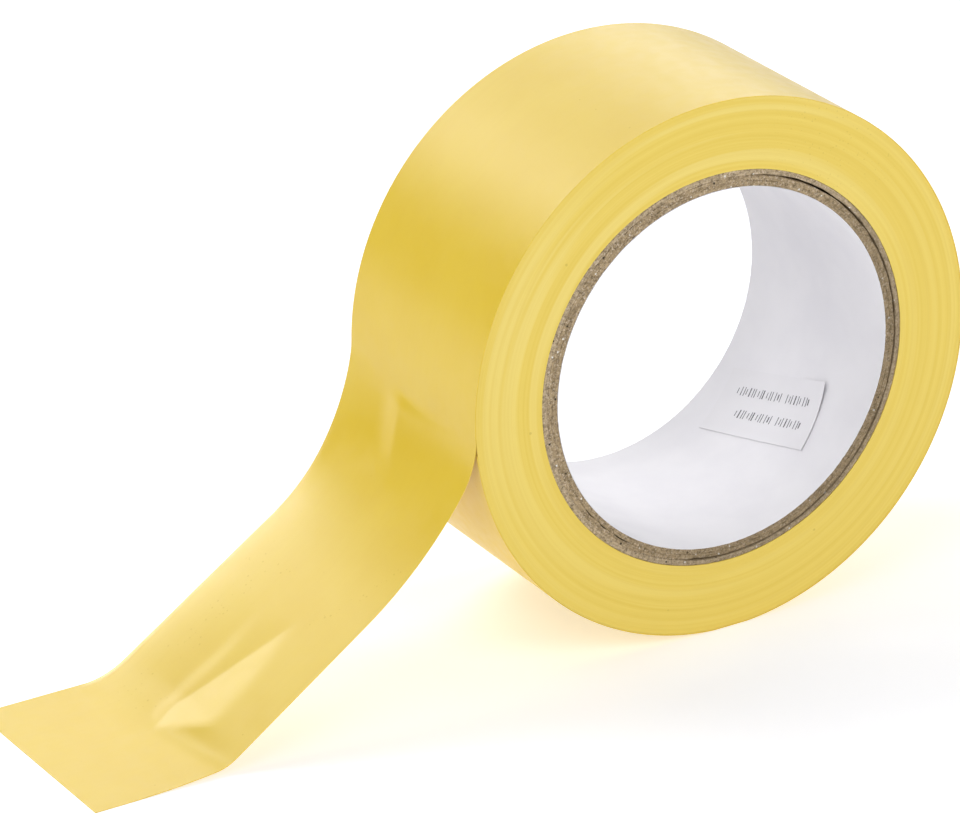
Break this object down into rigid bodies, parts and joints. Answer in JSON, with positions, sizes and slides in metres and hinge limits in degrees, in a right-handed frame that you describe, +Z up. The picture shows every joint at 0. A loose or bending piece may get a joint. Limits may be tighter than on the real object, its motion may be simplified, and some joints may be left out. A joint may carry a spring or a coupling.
{
  "type": "adhesive tape roll",
  "caption": "Roll of 50 mm yellow film tape on a 76 mm board core, standing on its rim with its loose end drawn down flat; the roll turns to unwind and the loose end lifts.",
  "frame": {"origin": "on the table, directly under the core's axis at the middle of the tape's width, where the outermost turn rests", "axes": "+Y along the core's axis, away from the face that the picture shows; -X the way the loose end lies; +Z up"},
  "size_m": [0.2009, 0.0508, 0.1135],
  "materials": {
    "tape_film": "satin yellow film",
    "core_board": "raw grey-brown board",
    "core_board_pale": "raw board, paler ply",
    "liner_paper": "matt white paper",
    "label_paper": "matt white paper"
  },
  "bodies": {
    "outer_turn": {"tape_outer_turn": "tape_film"},
    "roll": {"core_liner": "liner_paper", "core_inner_ply": "core_board", "core_middle_ply": "core_board", "core_outer_ply": "core_board_pale", "core_label": "label_paper", "tape_winding": "tape_film"},
    "tail": {"tape_tail": "tape_film"},
    "tail_end": {"tape_tail_end": "tape_film"}
  },
  "joints": [
    {"name": "roll_turn", "type": "hinge", "parent": "outer_turn", "child": "roll", "pos_m": [0, 0, 0.05677], "axis": [0, -1, 0], "continuous": true},
    {"name": "tail_lift", "type": "hinge", "parent": "outer_turn", "child": "tail", "pos_m": [-0.05677, 0, 0.05677], "axis": [0, 1, 0], "range_deg": [0, 88], "stiffness_Nm_per_rad": 0.01},
    {"name": "tail_straighten", "type": "hinge", "parent": "tail", "child": "tail_end", "pos_m": [-0.11007, 0, 0.00458], "axis": [0, -1, 0], "range_deg": [0, 34]}
  ],
  "couplings": [
    {"joint": "tail_straighten", "follows": "tail_lift", "ratio": 0.3864}
  ]
}
